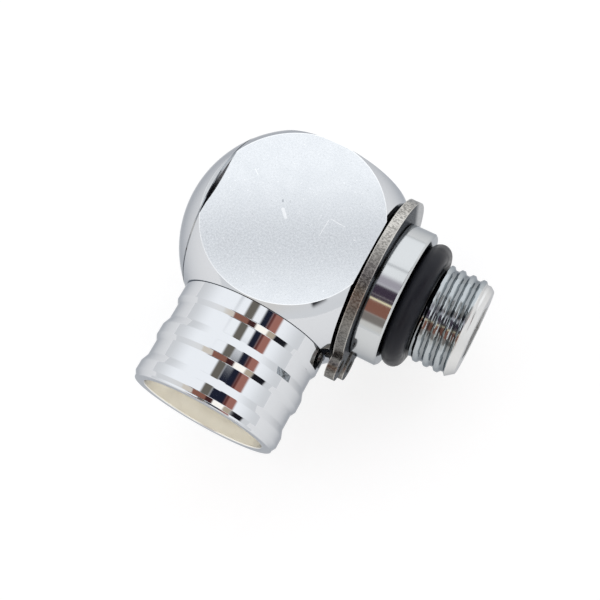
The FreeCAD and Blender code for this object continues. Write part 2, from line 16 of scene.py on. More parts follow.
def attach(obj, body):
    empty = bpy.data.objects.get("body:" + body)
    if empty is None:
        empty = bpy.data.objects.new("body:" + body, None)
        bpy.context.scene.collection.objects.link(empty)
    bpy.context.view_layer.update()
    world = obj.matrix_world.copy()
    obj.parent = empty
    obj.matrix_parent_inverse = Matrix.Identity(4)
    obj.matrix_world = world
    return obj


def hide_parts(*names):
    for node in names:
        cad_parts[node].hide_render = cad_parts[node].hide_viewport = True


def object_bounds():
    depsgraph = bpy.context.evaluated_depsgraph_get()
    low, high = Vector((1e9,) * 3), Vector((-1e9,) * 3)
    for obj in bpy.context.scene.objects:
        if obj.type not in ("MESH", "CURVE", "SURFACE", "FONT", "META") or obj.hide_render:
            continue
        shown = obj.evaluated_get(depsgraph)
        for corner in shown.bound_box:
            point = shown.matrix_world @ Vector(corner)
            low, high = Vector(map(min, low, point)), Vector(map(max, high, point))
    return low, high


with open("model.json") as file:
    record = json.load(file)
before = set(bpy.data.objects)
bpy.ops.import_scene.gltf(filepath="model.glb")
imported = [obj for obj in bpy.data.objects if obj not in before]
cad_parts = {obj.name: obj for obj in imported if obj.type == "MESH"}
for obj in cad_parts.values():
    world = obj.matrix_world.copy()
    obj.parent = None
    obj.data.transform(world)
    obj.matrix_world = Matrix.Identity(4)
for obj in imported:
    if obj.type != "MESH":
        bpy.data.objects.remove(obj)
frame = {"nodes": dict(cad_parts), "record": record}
cad_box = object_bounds()

MM = 0.001
BALL = Vector((0, 18.2, 0)) * MM

# Camera of the photograph: its axes in the part's frame, its distance and its lens
PHOTO_SIZE = 600
CAMERA_SIDE = Vector((0.880, 0.472, -0.057))
CAMERA_DOWN = Vector((0.428, -0.838, -0.338))
CAMERA_DISTANCE = 100.4 * MM
FOCAL_PIXELS = 1057
BALL_PIXEL = (297.5, 248.9)

# Sizes of the turned pieces, in millimetres. They are the solids' own, apart from the barrel's lip
# and steps and the collar's chamfer, which follow the photograph, and the cut of the threads.
BALL_RADIUS = 11.2
WRENCH_FLAT = 7.5
STUD_FLAT = 7.65
SEAM_PLANE = 7.6
BARREL_LENGTH = 9.8
BARREL_ROOT_RADIUS = 7.2
BARREL_END_CHAMFER = 0.04
SPIGOT_LENGTH = 2.3
LAND_RADIUS = 7.27
GROOVE_RADIUS = 7.0
LIP_RADIUS = 7.04
LIP_LAND = 0.22
LIP_STEP = 0.4
FIRST_LAND_END = 1.55
RIB_PITCH = 3.85
RIB_CONE = 0.75
RIB_RUN = 1.54
RIB_STEP = 0.5
MOUTH_RADIUS = 6.05
SPIGOT_RADIUS = 4.3
PASSAGE_RADIUS = 2.4
SOCKET_CONE_END = 9.5
SOCKET_THREAD_RADIUS = 4.25
SOCKET_THREAD = (2.4, 8.6)
COLLAR_RADIUS = 6.7
COLLAR_END = 11.55
COLLAR_CHAMFER = 0.17
CIRCLIP = (8.0, 9.06)
CIRCLIP_GROOVE_RADIUS = 6.25
NECK_RADIUS = 4.1
SPINDLE_END = -6.8
SPINDLE_RADIUS = 4.0
SPINDLE_SEALS = ((-4.25, -2.95), (2.95, 4.25))
SEAL_GROOVE_RADIUS = 3.0
SPINDLE_WAIST = (-1.6, 1.6)
SPINDLE_WAIST_RADIUS = 3.1
HUB = (6.3, 7.75)
HUB_RADIUS = 6.0
SNAP_RING_GROOVE = (-6.2, -5.35)
SNAP_RING_GROOVE_RADIUS = 3.55
STUD_PASSAGE_RADIUS = 1.9
STUD_END = 18.4
STUD_TIP_RADIUS = 4.15
STUD_TIP_LENGTH = 0.8
HEXAGON_START = 14.4
HEXAGON_RADIUS = 2.5
STUD_THREAD_RADIUS = 4.7625
STUD_THREAD = (13.7, 18.1)
STUD_THREAD_LEAD = 0.3
THREAD_PITCH = 1.058
THREAD_DEPTH = 0.28

# Share of a turn, from the middle of a crest, at which the flank starts and ends
FLANK = (0.15, 0.37)

# Lengths over which the threads fade out, and the points that a turn of thread is given
STUD_RUN_OUT = 0.3
SOCKET_RUN_OUT = 0.6
STUD_TURN_POINTS = 16
SOCKET_TURN_POINTS = 14
ROUND_STEPS = 192


# Nodes ------------------------------------------------------------------------------------------


class Net:
    """Short calls for the nodes of a shader or geometry tree."""

    def __init__(self, tree):
        self.tree = tree

    def node(self, kind, inputs=(), **settings):
        item = self.tree.nodes.new(kind)
        for key, value in settings.items():
            setattr(item, key, value)
        for key, value in dict(inputs).items():
            self.put(item.inputs[key], value)
        return item

    def put(self, socket, value):
        if isinstance(value, bpy.types.NodeSocket):
            self.tree.links.new(value, socket)
        else:
            socket.default_value = value

    def math(self, operation, *values):
        return self.node("ShaderNodeMath", enumerate(values), operation=operation).outputs[0]

    def vector(self, operation, *values):
        item = self.node("ShaderNodeVectorMath", enumerate(values), operation=operation)
        return item.outputs["Value" if operation in ("DOT_PRODUCT", "LENGTH") else "Vector"]

    def scaled(self, vector, factor):
        inputs = {0: vector, "Scale": factor}
        return self.node("ShaderNodeVectorMath", inputs, operation="SCALE").outputs[0]

    def distance(self, place, kept, centre=None):
        """Distance of a place from a centre, counting only the kept axes."""
        if centre is not None:
            place = self.vector("SUBTRACT", place, centre)
        return self.vector("LENGTH", self.vector("MULTIPLY", place, kept))

    def blend(self, share, under, over):
        """Two numbers mixed by a share."""
        return self.node("ShaderNodeMix", {0: share, 2: under, 3: over}).outputs[0]

    def ramp(self, value, start, end, low=0.0, high=1.0):
        """A smooth step of value from start to end."""
        inputs = {"Value": value, "From Min": start, "From Max": end, "To Min": low, "To Max": high}
        return self.node("ShaderNodeMapRange", inputs, interpolation_type="SMOOTHSTEP").outputs[0]

    def between(self, value, low, high, soft):
        """One inside a range and zero outside it, with soft edges."""
        rise = self.ramp(value, low - soft, low + soft)
        fall = self.ramp(value, high - soft, high + soft, 1.0, 0.0)
        return self.math("MULTIPLY", rise, fall)

    def mix(self, share, under, over):
        """Two colours mixed by a share, each a socket or its red, green and blue."""
        item = self.node("ShaderNodeMix", data_type="RGBA")
        self.put(item.inputs[0], share)
        for index, colour in ((6, under), (7, over)):
            if not isinstance(colour, bpy.types.NodeSocket):
                colour = (*colour, 1)
            self.put(item.inputs[index], colour)
        return item.outputs[2]

    def noise(self, place, scale, detail=2.0):
        inputs = {"Vector": place, "Scale": scale, "Detail": detail}
        return self.node("ShaderNodeTexNoise", inputs).outputs[0]


# Shapes -----------------------------------------------------------------------------------------


def rounded(corners, steps=4):
    """Closed outline of (place, radius, rounding) corners, each rounding drawn as a small arc.

    An arc takes up less than half of a run. A guard point just beyond each of its ends keeps the
    shading of the runs flat.
    """
    most, guard = 0.45, 0.08
    outline = []
    count = len(corners)
    for i, (x, y, amount) in enumerate(corners):
        here = Vector((x, y))
        back = Vector(corners[i - 1][:2]) - here
        ahead = Vector(corners[(i + 1) % count][:2]) - here
        if not amount:
            outline.append(here)
            continue
        half = back.angle(ahead) / 2
        reach = min(amount / math.tan(half), most * back.length, most * ahead.length)
        start = here + back.normalized() * reach
        end = here + ahead.normalized() * reach
        middle = here + (back.normalized() + ahead.normalized()).normalized() * (reach / math.cos(half))
        radius = (start - middle).length
        for step in range(steps + 1):
            point = middle + (start - middle).lerp(end - middle, step / steps).normalized() * radius
            outline.append(point)
        outline.insert(len(outline) - steps - 1, start + back.normalized() * reach * guard)
        outline.append(end + ahead.normalized() * reach * guard)
    return outline


def groove(span, wall_radius, floor_radius):
    """Corners of a square groove turned into a wall."""
    start, end = span
    return [
        (start, wall_radius, 0.0),
        (start, floor_radius, 0.0),
        (end, floor_radius, 0.0),
        (end, wall_radius, 0.0),
    ]


def with_stations(outline, start, end, step):
    """The outline with extra points along its runs between two places, for a thread to be cut in."""
    out = []
    for i, here in enumerate(outline):
        out.append(here)
        ahead = outline[(i + 1) % len(outline)]
        low, high = sorted((here.x, ahead.x))
        if high - low < step or high <= start or low >= end:
            continue
        count = int((high - low) / step)
        out += [here.lerp(ahead, (n + 1) / (count + 1)) for n in range(count)]
    return out


def turned(name, outline, centre, axis, hexagon=None):
    """Closed mesh of an outline turned about an axis.

    hexagon is the place and the half width of a six-sided hole that runs from there to the end.
    """
    near = 0.01
    side = Vector((0, 0, 1))
    other = axis.cross(side)
    mesh_data = bmesh.new()
    rings = []
    for point in outline:
        ring = []
        for n in range(ROUND_STEPS):
            angle = 2 * math.pi * n / ROUND_STEPS
            radius = point.y
            if hexagon and point.x > hexagon[0] - near and abs(point.y - hexagon[1]) < near:
                radius = point.y / math.cos((angle + math.pi / 6) % (math.pi / 3) - math.pi / 6)
            turn = side * math.cos(angle) + other * math.sin(angle)
            ring.append(mesh_data.verts.new(centre + (axis * point.x + turn * radius) * MM))
        rings.append(ring)
    for i, ring in enumerate(rings):
        ahead = rings[(i + 1) % len(rings)]
        for n in range(ROUND_STEPS):
            m = (n + 1) % ROUND_STEPS
            mesh_data.faces.new((ring[n], ring[m], ahead[m], ahead[n]))
    bmesh.ops.recalc_face_normals(mesh_data, faces=mesh_data.faces)
    return add_piece(name, mesh_data)


def add_piece(name, mesh_data):
    """Object of a mesh that has just been drawn."""
    mesh = bpy.data.meshes.new(name)
    mesh_data.to_mesh(mesh)
    mesh_data.free()
    piece = bpy.data.objects.new(name, mesh)
    bpy.context.scene.collection.objects.link(piece)
    return piece


def smooth(piece):
    """Smooth shading that keeps the turned edges sharp."""
    sharp_angle = 32
    piece.data.shade_smooth()
    piece.data.set_sharp_from_angle(angle=math.radians(sharp_angle))


def thread_tree():
    """Geometry nodes that cut a right-handed thread into a turned wall by moving its points."""
    tree = bpy.data.node_groups.new("thread_cut", "GeometryNodeTree")
    face = tree.interface
    face.new_socket("Geometry", in_out="INPUT", socket_type="NodeSocketGeometry")
    for name, kind in (
        ("Centre", "NodeSocketVector"),
        ("Axis", "NodeSocketVector"),
        ("Wall Radius", "NodeSocketFloat"),
        ("Side", "NodeSocketFloat"),
        ("Pitch", "NodeSocketFloat"),
        ("Depth", "NodeSocketFloat"),
        ("Start", "NodeSocketFloat"),
        ("End", "NodeSocketFloat"),
        ("Run Out", "NodeSocketFloat"),
        ("Finish", "NodeSocketMaterial"),
    ):
        face.new_socket(name, in_out="INPUT", socket_type=kind)
    face.new_socket("Geometry", in_out="OUTPUT", socket_type="NodeSocketGeometry")
    net = Net(tree)
    given = net.node("NodeGroupInput").outputs
    place = net.node("GeometryNodeInputPosition").outputs[0]
    offset = net.vector("SUBTRACT", place, given["Centre"])
    along = net.vector("DOT_PRODUCT", offset, given["Axis"])
    on_axis = net.scaled(given["Axis"], along)
    spoke = net.vector("SUBTRACT", offset, on_axis)
    radius = net.vector("LENGTH", spoke)
    other = net.vector("CROSS_PRODUCT", given["Axis"], (0, 0, 1))
    sideways = net.vector("DOT_PRODUCT", spoke, other)
    frontways = net.vector("DOT_PRODUCT", spoke, (0, 0, 1))
    angle = net.math("DIVIDE", net.math("ARCTAN2", sideways, frontways), 2 * math.pi)
    turns = net.math("SUBTRACT", net.math("DIVIDE", along, given["Pitch"]), angle)
    wave = net.math("ABSOLUTE", net.math("SUBTRACT", net.math("FRACT", turns), 0.5))
    share_down = net.node(
        "ShaderNodeMapRange",
        {"Value": wave, "From Min": FLANK[0], "From Max": FLANK[1], "To Min": 0.0, "To Max": 1.0},
    ).outputs[0]
    inside = net.math(
        "MULTIPLY",
        net.ramp(net.math("SUBTRACT", along, given["Start"]), 0.0, given["Run Out"]),
        net.ramp(net.math("SUBTRACT", given["End"], along), 0.0, given["Run Out"]),
    )
    depth = net.math("MULTIPLY", net.math("MULTIPLY", share_down, given["Depth"]), inside)
    cut = net.math("ADD", net.math("MULTIPLY", given["Wall Radius"], given["Side"]), depth)
    kept = net.math("MAXIMUM", net.math("MULTIPLY", radius, given["Side"]), cut)
    new_radius = net.math("MULTIPLY", kept, given["Side"])
    moved = net.scaled(net.vector("NORMALIZE", spoke), new_radius)
    target = net.vector("ADD", net.vector("ADD", given["Centre"], on_axis), moved)
    chosen = net.node("FunctionNodeCompare", {0: inside, 1: 0.0}, operation="GREATER_THAN").outputs[0]
    moving = net.node(
        "GeometryNodeSetPosition",
        {"Geometry": given["Geometry"], "Selection": chosen, "Position": target},
    )
    real = net.node("GeometryNodeRealizeInstances", {"Geometry": moving.outputs[0]})
    painted = net.node(
        "GeometryNodeSetMaterial",
        {"Geometry": real.outputs[0], "Material": given["Finish"]},
    )
    net.node("NodeGroupOutput", {"Geometry": painted.outputs[0]})
    return tree


def run_tree(piece, tree, **values):
    """Run a geometry tree on a piece and keep the result as its plain mesh."""
    modifier = piece.modifiers.new(tree.name, "NODES")
    modifier.node_group = tree
    sockets = {
        item.name: item.identifier
        for item in tree.interface.items_tree
        if item.item_type == "SOCKET" and item.in_out == "INPUT"
    }
    for name, value in values.items():
        modifier[sockets[name.replace("_", " ").title()]] = value
    bpy.context.view_layer.update()
    shaped = piece.evaluated_get(bpy.context.evaluated_depsgraph_get())
    mesh = bpy.data.meshes.new_from_object(shaped)
    piece.modifiers.remove(modifier)
    piece.data = mesh


def make_stud(tree, finish):
    """Swivel stud with its thread cut and a hexagon socket in its end."""
    corners = [
        (SPINDLE_END, STUD_PASSAGE_RADIUS, 0.0),
        (SPINDLE_END, SPINDLE_RADIUS, 0.15),
        *groove(SNAP_RING_GROOVE, SPINDLE_RADIUS, SNAP_RING_GROOVE_RADIUS),
        *groove(SPINDLE_SEALS[0], SPINDLE_RADIUS, SEAL_GROOVE_RADIUS),
        *groove(SPINDLE_WAIST, SPINDLE_RADIUS, SPINDLE_WAIST_RADIUS),
        *groove(SPINDLE_SEALS[1], SPINDLE_RADIUS, SEAL_GROOVE_RADIUS),
        (HUB[0], SPINDLE_RADIUS, 0.0),
        (HUB[0], HUB_RADIUS, 0.1),
        (HUB[1], HUB_RADIUS, 0.0),
        (HUB[1], COLLAR_RADIUS, 0.06),
        (CIRCLIP[0], COLLAR_RADIUS, 0.06),
        (CIRCLIP[0], CIRCLIP_GROOVE_RADIUS, 0.0),
        (CIRCLIP[1], CIRCLIP_GROOVE_RADIUS, 0.0),
        (CIRCLIP[1], COLLAR_RADIUS, 0.06),
        (COLLAR_END - COLLAR_CHAMFER, COLLAR_RADIUS, 0.06),
        (COLLAR_END, COLLAR_RADIUS - COLLAR_CHAMFER, 0.06),
        (COLLAR_END, NECK_RADIUS, 0.15),
        (STUD_THREAD[0], NECK_RADIUS, 0.05),
        (STUD_THREAD[0] + STUD_THREAD_LEAD, STUD_THREAD_RADIUS, 0.0),
        (STUD_END - STUD_TIP_LENGTH, STUD_THREAD_RADIUS, 0.2),
        (STUD_END, STUD_TIP_RADIUS, 0.12),
        (STUD_END, HEXAGON_RADIUS, 0.0),
        (HEXAGON_START, HEXAGON_RADIUS, 0.0),
        (HEXAGON_START, STUD_PASSAGE_RADIUS, 0.0),
    ]
    outline = with_stations(rounded(corners), *STUD_THREAD, THREAD_PITCH / STUD_TURN_POINTS)
    stud = turned("threaded_stud", outline, BALL, Vector((1, 0, 0)), (HEXAGON_START, HEXAGON_RADIUS))
    run_tree(
        stud,
        tree,
        centre=BALL,
        axis=(1, 0, 0),
        wall_radius=STUD_THREAD_RADIUS * MM,
        side=-1.0,
        pitch=THREAD_PITCH * MM,
        depth=THREAD_DEPTH * MM,
        start=STUD_THREAD[0] * MM,
        end=(STUD_END + 1.6) * MM,
        run_out=STUD_RUN_OUT * MM,
        finish=finish,
    )
    smooth(stud)
    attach(stud, "stud_body")
    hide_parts("swivel_stud")


def make_barrel(tree, finish):
    """Ribbed socket barrel with its thread cut inside."""
    corners = [
        (0.0, MOUTH_RADIUS, 0.12),
        (0.0, LIP_RADIUS, 0.2),
        (LIP_LAND, LIP_RADIUS, 0.1),
        (LIP_LAND + LIP_STEP, LAND_RADIUS, 0.12),
    ]
    for rib in range(2):
        land_end = FIRST_LAND_END + rib * RIB_PITCH
        run_start = land_end + RIB_CONE
        run_end = run_start + RIB_RUN
        corners += [
            (land_end, LAND_RADIUS, 0.3),
            (run_start, GROOVE_RADIUS, 0.3),
            (run_end, GROOVE_RADIUS, 0.15),
            (run_end + RIB_STEP, LAND_RADIUS, 0.15),
        ]
    corners += [
        (BARREL_LENGTH - BARREL_END_CHAMFER, LAND_RADIUS, 0.02),
        (BARREL_LENGTH, BARREL_ROOT_RADIUS, 0.02),
        (BARREL_LENGTH, SPIGOT_RADIUS, 0.0),
        (BARREL_LENGTH + SPIGOT_LENGTH, SPIGOT_RADIUS, 0.1),
        (BARREL_LENGTH + SPIGOT_LENGTH, PASSAGE_RADIUS, 0.0),
        (SOCKET_CONE_END, PASSAGE_RADIUS, 0.0),
        (SOCKET_THREAD[1], SOCKET_THREAD_RADIUS, 0.0),
        (SOCKET_THREAD[0], SOCKET_THREAD_RADIUS, 0.1),
        (SOCKET_THREAD[0], MOUTH_RADIUS, 0.1),
    ]
    low, high = SOCKET_THREAD[0] + 0.1, SOCKET_THREAD[1] - 0.1
    outline = with_stations(rounded(corners), low, high, THREAD_PITCH / SOCKET_TURN_POINTS)
    barrel = turned("ribbed_barrel", outline, Vector((0, 0, 0)), Vector((0, 1, 0)))
    run_tree(
        barrel,
        tree,
        centre=(0, 0, 0),
        axis=(0, 1, 0),
        wall_radius=SOCKET_THREAD_RADIUS * MM,
        side=1.0,
        pitch=THREAD_PITCH * MM,
        depth=THREAD_DEPTH * MM,
        start=(SOCKET_THREAD[0] - 0.2) * MM,
        end=SOCKET_THREAD[1] * MM,
        run_out=SOCKET_RUN_OUT * MM,
        finish=finish,
    )
    smooth(barrel)
    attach(barrel, "adapter_body")
    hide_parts("socket_barrel")


# Finishes ---------------------------------------------------------------------------------------


CHROME = (0.64, 0.655, 0.675)
GRAZING_TINT = (0.5, 0.52, 0.55)
# Painted reflection: cream that stands in for warm light mirrored inside the socket's mouth
MOUTH_REFLECTION_CREAM = (1.0, 0.975, 0.9)
# Painted shade: near-black colour and dull roughness put in seams and gaps where shade falls
GAP_SHADE = (0.012, 0.012, 0.014)
GAP_SHADE_ROUGHNESS = 0.7


def new_finish(name, colour, metallic, roughness):
    """Material of one colour, with its net, its shader and the place that patterns are read at."""
    material = bpy.data.materials.new(name)
    material.use_nodes = True
    net = Net(material.node_tree)
    shader = material.node_tree.nodes["Principled BSDF"]
    net.put(shader.inputs["Base Color"], (*colour, 1))
    net.put(shader.inputs["Metallic"], metallic)
    net.put(shader.inputs["Roughness"], roughness)
    if metallic:
        net.put(shader.inputs["Specular Tint"], (*GRAZING_TINT, 1))
    place = net.node("ShaderNodeTexCoord").outputs["Object"]
    return material, net, shader, place


def mirror_chrome():
    """Bright chrome of the turned pieces, with the faint waviness of a plated lathe surface and a
    painted reflection of cream light inside the mouth.
    """
    material, net, shader, place = new_finish("mirror_chrome", CHROME, 1.0, 0.05)
    out = net.distance(place, (1, 0, 1))
    inside = net.ramp(out, (MOUTH_RADIUS + 0.01) * MM, (MOUTH_RADIUS + 0.07) * MM, 1.0, 0.0)
    wave = net.noise(place, 260.0)
    outer = net.ramp(wave, 0.3, 0.7, 0.03, 0.065)
    net.put(shader.inputs["Roughness"], net.blend(inside, outer, 0.14))
    # Painted reflection: the mouth's bore is cream and less metallic, in place of the warm light its
    # chrome mirrors
    net.put(shader.inputs["Base Color"], net.mix(inside, CHROME, MOUTH_REFLECTION_CREAM))
    net.put(shader.inputs["Metallic"], net.ramp(inside, 0.0, 1.0, 1.0, 0.6))
    return material


# Knocks on the front flat: both ends, in millimetres from the ball's centre, and half the width
KNOCKS = [
    ((-1.09, 0.24), (-0.5, -0.35), 0.13),
    ((2.97, -0.61), (3.04, 1.1), 0.035),
    ((3.16, 1.3), (4.61, 1.17), 0.035),
    ((5.88, 0.43), (5.95, 0.43), 0.06),
    ((-5.2, 2.6), (-4.7, 2.2), 0.03),
]
PIT = ((-1.51, 1.01), (-1.45, 0.9), 0.07)


def near_line(net, place, start, end, half_width, share):
    """A share close to a short line on the flat, in the plane of X and Y, and zero away from it."""
    start = BALL + Vector((*start, 0)) * MM
    end = BALL + Vector((*end, 0)) * MM
    run = end - start
    level = net.vector("MULTIPLY", place, (1, 1, 0))
    offset = net.vector("SUBTRACT", level, start)
    along = net.math("DIVIDE", net.vector("DOT_PRODUCT", offset, run), run.length_squared)
    held = net.math("MINIMUM", net.math("MAXIMUM", along, 0.0), 1.0)
    foot = net.scaled(run, held)
    gap = net.vector("LENGTH", net.vector("SUBTRACT", offset, foot))
    return net.ramp(gap, half_width * 0.6 * MM, half_width * 1.6 * MM, share, 0.0)


def ball_chrome():
    """Chrome of the ball: mirror-bright on the sphere, satin with fine specks on the milled flats."""
    material, net, shader, place = new_finish("ball_chrome", CHROME, 1.0, 0.06)
    axes = net.node("ShaderNodeSeparateXYZ", {0: place}).outputs
    near_flat, on_flat = (WRENCH_FLAT - 0.02) * MM, (WRENCH_FLAT - 0.005) * MM
    flat = net.ramp(net.math("ABSOLUTE", axes["Z"]), near_flat, on_flat)

    # Satin of the milled flats, with what has marked the front one
    grain = net.noise(place, 5600.0)
    cloud = net.noise(place, 700.0, 3.0)
    satin = net.mix(net.ramp(grain, 0.35, 0.65), (0.66, 0.68, 0.7), (0.73, 0.75, 0.77))
    satin = net.mix(net.ramp(cloud, 0.3, 0.7, 0.0, 0.2), satin, (0.6, 0.63, 0.655))
    specks = net.ramp(net.noise(place, 4300.0, 1.0), 0.7, 0.77, 0.0, 0.6)
    satin = net.mix(specks, satin, (0.9, 0.91, 0.92))
    pits = net.ramp(net.noise(place, 3900.0, 1.0), 0.29, 0.24, 0.0, 0.3)
    satin = net.mix(pits, satin, (0.4, 0.41, 0.43))
    for knock in KNOCKS:
        satin = net.mix(near_line(net, place, *knock, 0.55), satin, (1.0, 1.0, 1.0))
    satin = net.mix(near_line(net, place, *PIT, 0.6), satin, (0.25, 0.27, 0.3))

    # Painted highlight along the edge where the flat meets the sphere
    out = net.distance(place, (1, 1, 0), BALL)
    rim_radius = math.sqrt(BALL_RADIUS**2 - WRENCH_FLAT**2)
    rim = net.ramp(out, (rim_radius - 0.1) * MM, (rim_radius - 0.05) * MM, 0.0, 0.5)
    satin = net.mix(rim, satin, (0.98, 0.98, 0.98))

    # Painted shade in the cap's seam, thickest in its lower half, and on the side behind the circlip
    seam_start, seam_end = -(SEAM_PLANE + 0.12) * MM, -(SEAM_PLANE - 0.04) * MM
    seam = net.between(axes["X"], seam_start, seam_end, 0.01 * MM)
    height = net.math("SUBTRACT", axes["Y"], BALL.y)
    lower_seam = net.between(height, -3.5 * MM, 0.3 * MM, 1.5 * MM)
    seam = net.math("MULTIPLY", seam, net.ramp(lower_seam, 0.0, 1.0, 0.4, 1.0))
    shade = 7.6
    circlip_shade = net.math(
        "MULTIPLY",
        net.ramp(axes["X"], (STUD_FLAT - 0.03) * MM, (STUD_FLAT - 0.01) * MM),
        net.ramp(net.distance(place, (0, 1, 1), BALL), shade * MM, (shade + 0.2) * MM, 1.0, 0.0),
    )
    dark = net.math("MAXIMUM", seam, circlip_shade)

    colour = net.mix(flat, CHROME, satin)
    net.put(shader.inputs["Base Color"], net.mix(dark, colour, GAP_SHADE))
    satin_rough = net.math(
        "ADD",
        net.ramp(grain, 0.3, 0.7, 0.075, 0.105),
        net.ramp(cloud, 0.3, 0.7, 0.0, 0.02),
    )
    rough = net.blend(flat, 0.06, satin_rough)
    net.put(shader.inputs["Roughness"], net.blend(dark, rough, GAP_SHADE_ROUGHNESS))
    inputs = {"Strength": flat, "Distance": 0.0003 * MM, "Height": grain}
    net.put(shader.inputs["Normal"], net.node("ShaderNodeBump", inputs).outputs[0])
    return material


def stud_plate():
    """Bright plating of the stud, duller on the thread, with painted shade in its roots and under the
    circlip.
    """
    material, net, shader, place = new_finish("stud_plate", CHROME, 1.0, 0.1)
    along = net.node("ShaderNodeSeparateXYZ", {0: place}).outputs["X"]
    thread_start = STUD_THREAD[0] - 0.4
    tip_start = STUD_END - STUD_TIP_LENGTH
    groove_start = CIRCLIP[0] + 0.1
    thread = net.ramp(along, thread_start * MM, (thread_start + 0.2) * MM)
    end = net.ramp(along, (tip_start - 0.15) * MM, tip_start * MM)
    # Painted shade on the stud under the circlip
    flange_shade = net.ramp(along, groove_start * MM, (groove_start + 0.05) * MM, 1.0, 0.0)
    spoke = net.distance(place, (0, 1, 1), BALL)
    # Painted shade, darker towards the thread's roots
    root_start, root_end = (STUD_THREAD_RADIUS - 0.3) * MM, (STUD_THREAD_RADIUS - 0.08) * MM
    root_shade = net.math("MULTIPLY", net.ramp(spoke, root_start, root_end, 0.45, 0.0), thread)

    tone = net.mix(thread, (0.56, 0.575, 0.58), (0.43, 0.46, 0.475))
    tone = net.mix(root_shade, tone, (0.1, 0.105, 0.11))
    tone = net.mix(end, tone, (0.7, 0.7, 0.69))
    net.put(shader.inputs["Base Color"], net.mix(flange_shade, tone, GAP_SHADE))
    rough = net.blend(end, net.blend(thread, 0.1, 0.13), 0.35)
    net.put(shader.inputs["Roughness"], net.blend(flange_shade, rough, GAP_SHADE_ROUGHNESS))
    return material


def spring_steel():
    """Dark spring steel of the circlip, with a mottled sheared rim that has painted highlights along
    its edges.
    """
    material, net, shader, place = new_finish("spring_steel", (0.42, 0.4, 0.37), 1.0, 0.38)
    axes = net.node("ShaderNodeSeparateXYZ", {0: place}).outputs
    along, height = axes["X"], net.math("SUBTRACT", axes["Y"], BALL.y)
    normal = net.node("ShaderNodeNewGeometry").outputs["Normal"]
    facing = net.node("ShaderNodeSeparateXYZ", {0: normal}).outputs["X"]

    # Rim: mottled by the shearing, with painted shade darker towards the ears and painted highlights
    # along both edges
    mottle = net.noise(net.vector("MULTIPLY", place, (0.7, 1.0, 1.0)), 6200.0)
    blotch = net.noise(place, 1300.0)
    tone = net.mix(net.ramp(mottle, 0.4, 0.6), (0.3, 0.29, 0.27), (0.62, 0.6, 0.56))
    tone = net.mix(net.ramp(blotch, 0.5, 0.7, 0.0, 0.3), tone, (0.2, 0.19, 0.18))
    shaded = net.ramp(height, -3.0 * MM, 4.0 * MM, 0.65, 0.0)
    tone = net.mix(shaded, tone, (0.1, 0.095, 0.09))
    near = net.between(along, 7.9 * MM, 8.07 * MM, 0.02 * MM)
    far = net.between(along, 8.92 * MM, 9.05 * MM, 0.02 * MM)
    edges = net.math("MULTIPLY", net.math("MAXIMUM", near, far), 0.7)
    tone = net.mix(edges, tone, (0.62, 0.6, 0.56))

    # Faces: painted shade, black, and painted light where the ring stands out past the collar at its
    # top
    face = net.ramp(net.math("ABSOLUTE", facing), 0.6, 0.8)
    top = net.ramp(height, 6.4 * MM, 7.6 * MM)
    tone = net.mix(face, tone, net.mix(top, (0.02, 0.019, 0.018), (0.7, 0.69, 0.67)))
    net.put(shader.inputs["Base Color"], tone)
    net.put(shader.inputs["Roughness"], net.ramp(mottle, 0.3, 0.7, 0.24, 0.38))
    inputs = {"Strength": 0.4, "Distance": 0.01 * MM, "Height": mottle}
    net.put(shader.inputs["Normal"], net.node("ShaderNodeBump", inputs).outputs[0])
    return material


def black_rubber():
    """Black nitrile of the O-rings, faintly bloomed."""
    material, net, shader, place = new_finish("black_rubber", (0.009, 0.01, 0.015), 0.0, 0.4)
    net.put(shader.inputs["Specular IOR Level"], 0.2)
    bloom = net.noise(place, 900.0, 3.0)
    net.put(shader.inputs["Roughness"], net.ramp(bloom, 0.3, 0.7, 0.32, 0.48))
    return material


def white_ptfe():
    """White plastic of the thrust washers."""
    material, net, shader, place = new_finish("white_ptfe", (0.85, 0.85, 0.83), 0.0, 0.5)
    cloud = net.noise(place, 700.0)
    net.put(shader.inputs["Roughness"], net.ramp(cloud, 0.3, 0.7, 0.42, 0.58))
    return material


# Studio -----------------------------------------------------------------------------------------

# What the chrome mirrors: soft-edged cards in a white dome. Each has its turn about the socket's
# axis from +Z towards +X, its rise from that plane towards the ball's top, its colour and how soft
# its upper and lower edges are, with all angles in degrees. A later card covers an earlier one.
CARD_SIDE_SOFT = 2.2
CARDS = [
    ("lilac shade", (-26, 1), (-14, 2), (0.58, 0.55, 0.62), 5),
    ("purple card", (-24, 5), (-36.3, -14), (0.07, 0.05, 0.08), 2),
    ("light slot", (-24, 5), (-30.5, -29.3), (0.4, 0.36, 0.38), 0.6),
    ("warm lamp", (-24, 5), (-38.4, -36.2), (1.5, 1.35, 0.85), 0.7),
    ("brown card, low", (-24, 17), (-60, -38.6), (0.34, 0.15, 0.11), 1.5),
    ("dark red card, low", (3, 17), (-60, -38.6), (0.07, 0.025, 0.025), 1.5),
    ("cream light, low", (18, 40), (-58, -40), (1.5, 1.42, 1.3), 1.5),
    ("taupe card, low", (-48, 8), (-74, -60), (0.3, 0.27, 0.25), 2),
    ("tan card, left", (-42, -24), (-55, -38), (0.9, 0.82, 0.72), 2),
    ("tan card, right", (40, 54), (-54, -30), (0.62, 0.52, 0.4), 1.5),
    ("black card", (54, 78), (-48, -35), (0.015, 0.015, 0.02), 1.5),
    ("taupe card", (-5, 8), (-8, 32), (0.19, 0.175, 0.15), 1.4),
    ("navy card, low", (8, 31), (-8, 11.5), (0.018, 0.022, 0.042), 1.4),
    ("navy card", (20, 31), (-8, 32), (0.018, 0.022, 0.042), 1.4),
    ("dark red card", (30, 37), (-8, 32), (0.16, 0.05, 0.045), 1.6),
    ("red-brown card", (35, 47), (-8, 32), (0.47, 0.2, 0.16), 1.6),
]

